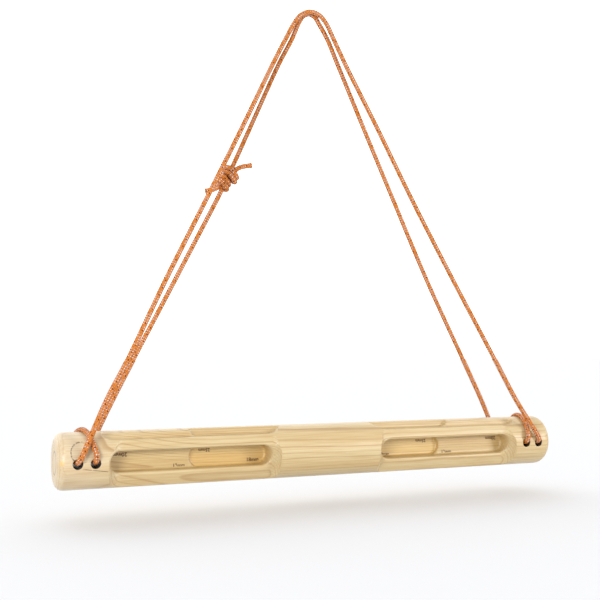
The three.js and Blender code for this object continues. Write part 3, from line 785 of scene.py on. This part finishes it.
streak = grain_noise(STREAK_LENGTH, STREAK_WIDTH, detail=3.0, roughness=0.55)
warm = add_node(tree, RANGE, {}, streak, From_Min=0.35, From_Max=0.65, To_Max=0.7)
tinted = add_node(tree, MIX, COLOUR_MULTIPLY, warm, ringed, linear("#f6e7d2"))
fibre = grain_noise(FIBRE_LENGTH, FIBRE_WIDTH, detail=4.0, roughness=0.6)
drawn = add_node(tree, RANGE, {}, fibre, From_Min=0.62, From_Max=0.35, To_Max=0.55)
fine = add_node(tree, MIX, COLOUR_MULTIPLY, drawn, tinted, linear("#dcc8a2"))
print("Fibres side by side in a streak:", round(STREAK_WIDTH / FIBRE_WIDTH))

# %% [markdown]
# Milled faces deep in the bar are painted warmer, as painted warm bounce light, and the floors of the deepest
# pockets are painted brighter, as painted light. The turned surface is all at one distance from the axis and
# only milled faces lie nearer, so that distance tells them apart.

# %% Milled wood, with painted bounce light
MILLED_FROM, MILLED_FULL, BOUNCE_WARMTH_SHARE = 25.0, 10.0, 0.45
POCKET_FROM_Y, POCKET_FLOOR_Y, POCKET_END_X = -4.0, 0.5, 170.0
POCKET_OUTSIDE, POCKET_INSIDE = 14.0, 11.5
POCKET_LIGHT_GAIN = (1.17, 1.14, 0.98, 1.0)

from_axis = distance(0.0, y, z)
# Painted warm bounce light: the milled faces are tinted warmer.
milled = add_node(tree, RANGE, {}, from_axis, From_Min=MILLED_FROM, From_Max=MILLED_FULL, To_Max=BOUNCE_WARMTH_SHARE)
painted_bounce_warm = add_node(tree, MIX, COLOUR_MULTIPLY, milled, fine, linear("#fff2c8"))
from_middle = add_node(tree, MATH, "ABSOLUTE", x)
at_floor = add_node(tree, RANGE, {}, y, From_Min=POCKET_FROM_Y, From_Max=POCKET_FLOOR_Y)
near_axis = add_node(tree, RANGE, {}, from_axis, From_Min=POCKET_OUTSIDE, From_Max=POCKET_INSIDE)
near_middle = add_node(tree, MATH, "LESS_THAN", from_middle, POCKET_END_X)
inside = add_node(tree, MATH, "MULTIPLY", near_axis, near_middle)
in_pocket = add_node(tree, MATH, "MULTIPLY", at_floor, inside)
# Painted light: the floors of the deep pockets are brightened.
painted_pocket_light = add_node(tree, MIX, COLOUR_MULTIPLY, in_pocket, painted_bounce_warm, POCKET_LIGHT_GAIN)
print("Milled wood is warmer from, mm below the round:", BAR_RADIUS - MILLED_FROM)

# %% [markdown]
# Near the left holes a branch once grew: its dark bark line is an arc on the front, and a hairline crack runs
# beside the holes. They could be painted on a picture, but each is only a distance: from a circle, or from a
# straight line. Such marks make the wood look real, because no pattern repeats them.

# %% Bark line and crack
BRANCH_X, BRANCH_Z, BRANCH_RADIUS = -277.0, 10.5, 10.2
BARK_CORE, BARK_EDGE = 0.2, 0.9
BARK_FADE_FROM_X, BARK_FADE_TO_X = -278.0, -270.0
CRACK_SLOPE, CRACK_HEIGHT = -0.143, -45.2
CRACK_CORE, CRACK_EDGE = 0.15, 0.6
CRACK_MIDDLE_X, CRACK_REACH = -263.0, 13.0


def thin_line(value, centre, core, edge):
    off = add_node(tree, MATH, "ABSOLUTE", add_node(tree, MATH, "SUBTRACT", value, centre))
    return add_node(tree, RANGE, {}, off, From_Min=core, From_Max=edge, To_Min=1.0, To_Max=0.0)


from_branch = distance(
    add_node(tree, MATH, "SUBTRACT", x, BRANCH_X), 0.0, add_node(tree, MATH, "SUBTRACT", z, BRANCH_Z))
bark_line = thin_line(from_branch, BRANCH_RADIUS, BARK_CORE, BARK_EDGE)
bark_fade = add_node(tree, RANGE, {}, x, From_Min=BARK_FADE_FROM_X, From_Max=BARK_FADE_TO_X,
                     To_Min=1.0, To_Max=0.0)
bark = add_node(tree, MATH, "MULTIPLY", bark_line, bark_fade)
crack_z = add_node(tree, MATH, "MULTIPLY_ADD", x, CRACK_SLOPE, CRACK_HEIGHT)
crack_line = thin_line(z, crack_z, CRACK_CORE, CRACK_EDGE)
crack_span = add_node(tree, MATH, "COMPARE", x, CRACK_MIDDLE_X, CRACK_REACH)
crack = add_node(tree, MATH, "MULTIPLY", crack_line, crack_span)
either = add_node(tree, MATH, "MAXIMUM", bark, crack)
on_front = add_node(tree, MATH, "MULTIPLY", either, add_node(tree, MATH, "LESS_THAN", y, 0.0))
print("Crack, mm long:", 2 * CRACK_REACH)

# %% [markdown]
# One ring is dark on the end face, and a drop of resin shows yellow near it, as a spot with a soft edge. No
# mark of a tree is drawn evenly, so a noise breaks the dark lines up. Its grit is a little under two
# millimetres, because a finer one wouldn't show.

# %% Dark ring and resin
DARK_RING_CENTRE, DARK_RING_RADIUS = (-300.0, -4.0, -1.0), 11.5
DARK_RING_CORE, DARK_RING_EDGE = 0.4, 1.4
GRIT_SIZE = 1.667
RESIN_SPOT = (-296.0, -28.0, 1.0)
RESIN_EDGE, RESIN_CORE, RESIN_SHARE = 4.0, 1.5, 0.6

from_ring_centre = add_node(tree, VECTOR_MATH, "DISTANCE", place, DARK_RING_CENTRE)
end_ring = thin_line(from_ring_centre, DARK_RING_RADIUS, DARK_RING_CORE, DARK_RING_EDGE)
marks = add_node(tree, MATH, "MAXIMUM", end_ring, on_front)
grit = add_node(tree, NOISE, {}, place, Scale=1 / GRIT_SIZE, Detail=2.0)
broken = add_node(tree, RANGE, {}, grit, From_Min=0.34, From_Max=0.5, To_Max=0.85)
shown_marks = add_node(tree, MATH, "MULTIPLY", marks, broken)
from_resin = add_node(tree, VECTOR_MATH, "DISTANCE", place, RESIN_SPOT)
resin = add_node(tree, RANGE, {}, from_resin, From_Min=RESIN_EDGE, From_Max=RESIN_CORE, To_Max=RESIN_SHARE)
resined = add_node(tree, MIX, COLOUR_MIX, resin, painted_pocket_light, linear("#d6ad4e"))
marked = add_node(tree, MIX, COLOUR_MIX, shown_marks, resined, linear("#4a2f14"))
print("Dark ring, mm across:", 2 * DARK_RING_RADIUS)

# %% [markdown]
# The walls of the cord holes are painted nearly black, as painted shade inside the holes. Each point's
# distance from the nearest hole's axis shows whether it lies on a wall, and the eased mouths stay pale.

# %% Painted shade in the cord holes
HOLE_RADIUS, HOLE_Z = 4.9, -0.8
HOLE_SHADE_EDGE, HOLE_SHADE_FULL, HOLE_SHADE_SHARE = HOLE_RADIUS + 0.45, HOLE_RADIUS + 0.15, 0.95

from_outer, from_inner = (
    add_node(tree, MATH, "ABSOLUTE", add_node(tree, MATH, "SUBTRACT", from_middle, hole_x))
    for hole_x in (OUTER_HOLE_X, INNER_HOLE_X))
from_hole = distance(
    add_node(tree, MATH, "MINIMUM", from_outer, from_inner), 0.0,
    add_node(tree, MATH, "SUBTRACT", z, HOLE_Z))
# Painted shade: the hole walls are darkened nearly black.
painted_hole_shade = add_node(tree, RANGE, {}, from_hole, From_Min=HOLE_SHADE_EDGE, From_Max=HOLE_SHADE_FULL,
                    To_Max=HOLE_SHADE_SHARE)
hole_shaded = add_node(tree, MIX, COLOUR_MIX, painted_hole_shade, marked, linear("#241408"))
print("Hole walls, mm from the hole's axis:", HOLE_RADIUS)

# %% [markdown]
# The sanded wood was lightly oiled. It is half rough, with hardly any relief left in the fibres, and the oil
# leaves a faint coat, which shows as a grey sheen where the surface turns away.

# %% Sanded oiled pine
FIBRE_BUMP = 0.05
bump = add_node(tree, BUMP, {}, Strength=0.25, Distance=FIBRE_BUMP * MM, Height=fibre)
shader = add_node(tree, PRINCIPLED, {}, hole_shaded, Roughness=0.5, IOR=1.5,
                  Coat_Weight=0.6, Coat_Roughness=0.35, Normal=bump)
add_node(tree, SURFACE, {}, shader)
bar_piece.data.materials.clear()
bar_piece.data.materials.append(wood_material)
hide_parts("bar")
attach(bar_piece, "bar")
print("Material:", wood_material.name, "with", len(tree.nodes), "nodes")

# %% [markdown]
# The depth of each edge is burned into the slot's floor. Burned wood is dull and dark brown, and browner
# where the iron pressed less, in grains of about a millimetre.

# %% Burned wood
CHAR_SIZE = 1.111
burn_material, tree = new_material("burned_wood")
in_metres = add_node(tree, COORDINATES, {}).outputs["Object"]
char = add_node(tree, NOISE, {}, in_metres, Scale=1 / (CHAR_SIZE * MM), Detail=2.0)
brown = add_node(tree, MIX, COLOUR_MIX, char, linear("#3a230e"), linear("#6b4826"))
shader = add_node(tree, PRINCIPLED, {}, brown, Roughness=0.8, IOR=1.5)
add_node(tree, SURFACE, {}, shader)
print("Material:", burn_material.name)

# %% [markdown]
# The numbers are small and plain. Those of the upper edges are upside down, because the bar can be hung the
# other way up. A burn has next to no depth, so nothing is cut from the bar: each number is a text turned into
# a thin mesh, which follows the floor's rounding where it reaches down to it.

# %% Burned numbers
BURN_DEPTH = 0.05
STROKE_WEIGHT, STROKE_STEPS = 0.025, 3
SLOT_BOTTOM, FLOOR_ROUNDING = -12.2, 2.0
SHALLOW_FLOOR, DEEP_FLOOR = -4.5, 1.0
# Name, words, x, z, the floor's y, width and whether it is upside down.
NUMBERS = [
    ("left_20", "20mm", -233.4, 4.8, SHALLOW_FLOOR, 14.7, True),
    ("left_12", "12mm", -170.3, -9.6, SHALLOW_FLOOR, 12.5, False),
    ("left_25", "25mm", -140.5, 5.2, DEEP_FLOOR, 13.0, True),
    ("left_18", "18mm", -84.8, -7.9, DEEP_FLOOR, 13.6, False),
    ("right_18", "18mm", 80.3, -9.7, DEEP_FLOOR, 13.0, False),
    ("right_25", "25mm", 130.2, 4.6, DEEP_FLOOR, 14.0, True),
    ("right_12", "12mm", 162.5, -9.4, SHALLOW_FLOOR, 13.0, False),
    ("right_20", "20mm", 226.3, 4.6, SHALLOW_FLOOR, 14.6, True),
]


def number_mesh(name, words):
    text = bpy.data.curves.new(name, "FONT")
    text.body = words
    text.align_x, text.align_y = "CENTER", "CENTER"
    text.extrude = BURN_DEPTH / 2
    text.offset = STROKE_WEIGHT
    text.resolution_u = STROKE_STEPS
    holder = bpy.data.objects.new(name, text)
    scene.collection.objects.link(holder)
    bpy.context.view_layer.update()
    mesh = bpy.data.meshes.new_from_object(holder)
    bpy.data.objects.remove(holder)
    return mesh


def burned_number(name, words, x, z, floor_y, width, upside_down):
    mesh = number_mesh(name, words)
    wide = max(v.co.x for v in mesh.vertices) - min(v.co.x for v in mesh.vertices)
    turn = Matrix.Rotation(math.radians(90), 4, "X")
    if upside_down:
        turn = Matrix.Rotation(math.pi, 4, "Y") @ turn
    size = Matrix.Diagonal((width / wide * MM, width / wide * MM, MM, 1))
    mesh.transform(Matrix.Translation(Vector((x, floor_y - BURN_DEPTH / 2, z)) * MM) @ turn @ size)
    for vertex in mesh.vertices:
        into_rounding = max(0, SLOT_BOTTOM + FLOOR_ROUNDING - vertex.co.z / MM)
        rise = FLOOR_ROUNDING - math.sqrt(max(0, FLOOR_ROUNDING**2 - into_rounding**2))
        vertex.co.y -= rise * MM
    piece = bpy.data.objects.new(f"number_{name}", mesh)
    scene.collection.objects.link(piece)
    piece.data.materials.append(burn_material)
    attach(piece, "bar")


for row in NUMBERS:
    burned_number(*row)
print("Numbers:", len(NUMBERS))

# %% [markdown]
# The photograph is a packshot: white all round, with only a soft grey shadow under the bar. A large sheet of
# matt white paper lies a little below the bar. It reaches thirty metres each way, so that no view shows its
# edge near the bar.

# %% White floor
FLOOR_DROP, FLOOR_REACH = 63.0, 30000.0


def make_floor_material():
    material, tree = new_material("matt_white_paper")
    shader = add_node(tree, PRINCIPLED, {}, linear("#f2f3f5"), Roughness=1.0)
    add_node(tree, SURFACE, {}, shader)
    return material


floor_bm = bmesh.new()
bmesh.ops.create_grid(floor_bm, x_segments=1, y_segments=1, size=FLOOR_REACH * MM)
bmesh.ops.translate(floor_bm, verts=floor_bm.verts, vec=(0, 0, -FLOOR_DROP * MM))
floor = bpy.data.objects.new("floor", bpy.data.meshes.new("floor"))
floor_bm.to_mesh(floor.data)
floor_bm.free()
scene.collection.objects.link(floor)
floor.data.materials.append(make_floor_material())
print("Floor below the bar's axis, mm:", FLOOR_DROP)

# %% [markdown]
# The shadow is wide and reaches towards the camera, so most of the light comes from overhead and from a
# bright wall behind the bar, and little from the room in front. A white sky whose brightness changes from
# front to back gives all of that without a single lamp.

# %% Light from the room
OVERHEAD, BACK_WALL, FRONT_ROOM = 1.1, 1.8, 0.5
WALL_FROM, WALL_FULL = 0.35, 0.75
WHITE = (1, 1, 1, 1)

world = bpy.data.worlds.new("white_studio")
world.use_nodes = True
sky_tree = world.node_tree
sky_tree.nodes.clear()
direction = add_node(sky_tree, COORDINATES, {}).outputs["Generated"]
backward = add_node(sky_tree, SPLIT, {}, direction).outputs["Y"]
wall = add_node(sky_tree, RANGE, {}, backward, From_Min=WALL_FROM, From_Max=WALL_FULL,
                To_Max=BACK_WALL - OVERHEAD)
room = add_node(sky_tree, RANGE, {}, backward, From_Min=0.0, From_Max=-1.0,
                To_Min=OVERHEAD, To_Max=FRONT_ROOM)
brightness = add_node(sky_tree, MATH, "ADD", wall, room)
sky = add_node(sky_tree, "ShaderNodeBackground", {}, WHITE, brightness)
add_node(sky_tree, "ShaderNodeOutputWorld", {}, sky)
scene.world = world
scene.view_settings.view_transform = "Standard"
print("Brightest and darkest side of the room:", BACK_WALL, FRONT_ROOM)

# %% [markdown]
# Two soft lights at the front left and the front right reach into the slots under their upper lips. They are
# kept off the floor, as a photographer does with a black card, so that the shadow stays.

# %% Front lights
LIGHT_SIZE = 0.5
# Name, place and target in metres, and power in watts.
FRONT_LIGHTS = [
    ("front_left_light", (-1.2, -1.3, 0.36), (-0.1, 0, 0), 17.5),
    ("front_right_light", (1.2, -1.3, 0.36), (0.1, 0, 0), 14),
]

kept_dark = bpy.data.collections.new("kept_off_the_front_lights")
kept_dark.objects.link(floor)
kept_dark.collection_objects[0].light_linking.link_state = "EXCLUDE"


def soft_light(name, place, target, power):
    light = bpy.data.lights.new(name, "AREA")
    light.shape = "SQUARE"
    light.size = LIGHT_SIZE
    light.energy = power
    holder = bpy.data.objects.new(name, light)
    scene.collection.objects.link(holder)
    aim = (Vector(target) - Vector(place)).to_track_quat("-Z", "Y")
    holder.matrix_world = Matrix.Translation(Vector(place)) @ aim.to_matrix().to_4x4()
    holder.light_linking.receiver_collection = kept_dark


for row in FRONT_LIGHTS:
    soft_light(*row)
print("Front lights:", len(FRONT_LIGHTS))
